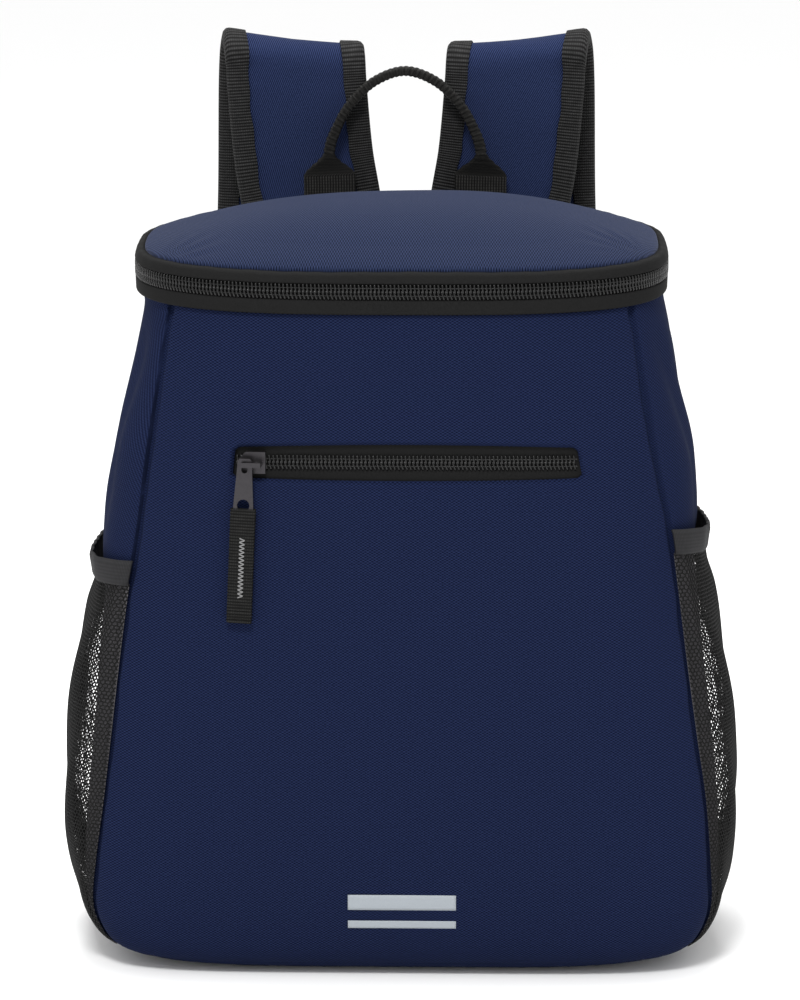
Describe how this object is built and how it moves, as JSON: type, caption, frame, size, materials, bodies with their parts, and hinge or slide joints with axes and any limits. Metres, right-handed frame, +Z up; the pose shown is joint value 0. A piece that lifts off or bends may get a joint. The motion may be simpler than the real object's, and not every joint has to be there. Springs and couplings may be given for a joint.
{
  "type": "cooler backpack",
  "caption": "Soft insulated backpack with a zipped crowned lid, a zipped front pocket, mesh side pockets, padded shoulder straps and a carry handle.",
  "frame": {"origin": "middle of the flat base, on the surface that the bag stands on", "axes": "+Z up through the lid, -Y out of the front with its zipped pocket, +X to the right as seen from the front"},
  "size_m": [0.3655, 0.2239, 0.4853],
  "materials": {
    "canvas": "woven navy cloth, matt",
    "lid_canvas": "woven navy cloth, matt, a little paler",
    "webbing": "ribbed black webbing, matt",
    "zip_tape": "plain black tape, matt",
    "zip_coil": "black moulded coil, half-matt",
    "mesh": "dark grey open net",
    "gunmetal": "dark plated metal, satin",
    "reflective": "silver-grey reflective film, satin",
    "buckle": "black moulded plastic, fine grain"
  },
  "bodies": {
    "bag": {"body_shell": "canvas", "front_panel": "canvas", "pocket_zip_tape": "zip_tape", "pocket_zip_coil": "zip_coil", "pocket_slider": "gunmetal", "lid": "lid_canvas", "lid_zip_tape_lower": "zip_tape", "lid_zip_tape_upper": "zip_tape", "lid_zip_coil": "zip_coil", "lid_hinge": "canvas", "lid_slider": "gunmetal", "back_panel": "canvas", "carry_handle": "webbing", "accent_bar_upper": "reflective", "accent_bar_lower": "reflective", "side_pocket_left": "mesh", "pocket_band_left": "webbing", "strap_left": "canvas", "strap_binding_outer_left": "webbing", "strap_binding_inner_left": "webbing", "ladder_lock_left": "buckle", "lock_loop_left": "webbing", "adjuster_web_left": "webbing", "web_anchor_left": "webbing", "side_pocket_right": "mesh", "pocket_band_right": "webbing", "strap_right": "canvas", "strap_binding_outer_right": "webbing", "strap_binding_inner_right": "webbing", "ladder_lock_right": "buckle", "lock_loop_right": "webbing", "adjuster_web_right": "webbing", "web_anchor_right": "webbing"},
    "pull": {"pull_tab": "gunmetal", "pull_web": "webbing"}
  },
  "joints": [
    {"name": "pull_swing", "type": "hinge", "parent": "bag", "child": "pull", "pos_m": [-0.07854, -0.08538, 0.27915], "axis": [-0.0695, -0.9976, 0], "range_deg": [-215, 40]}
  ]
}
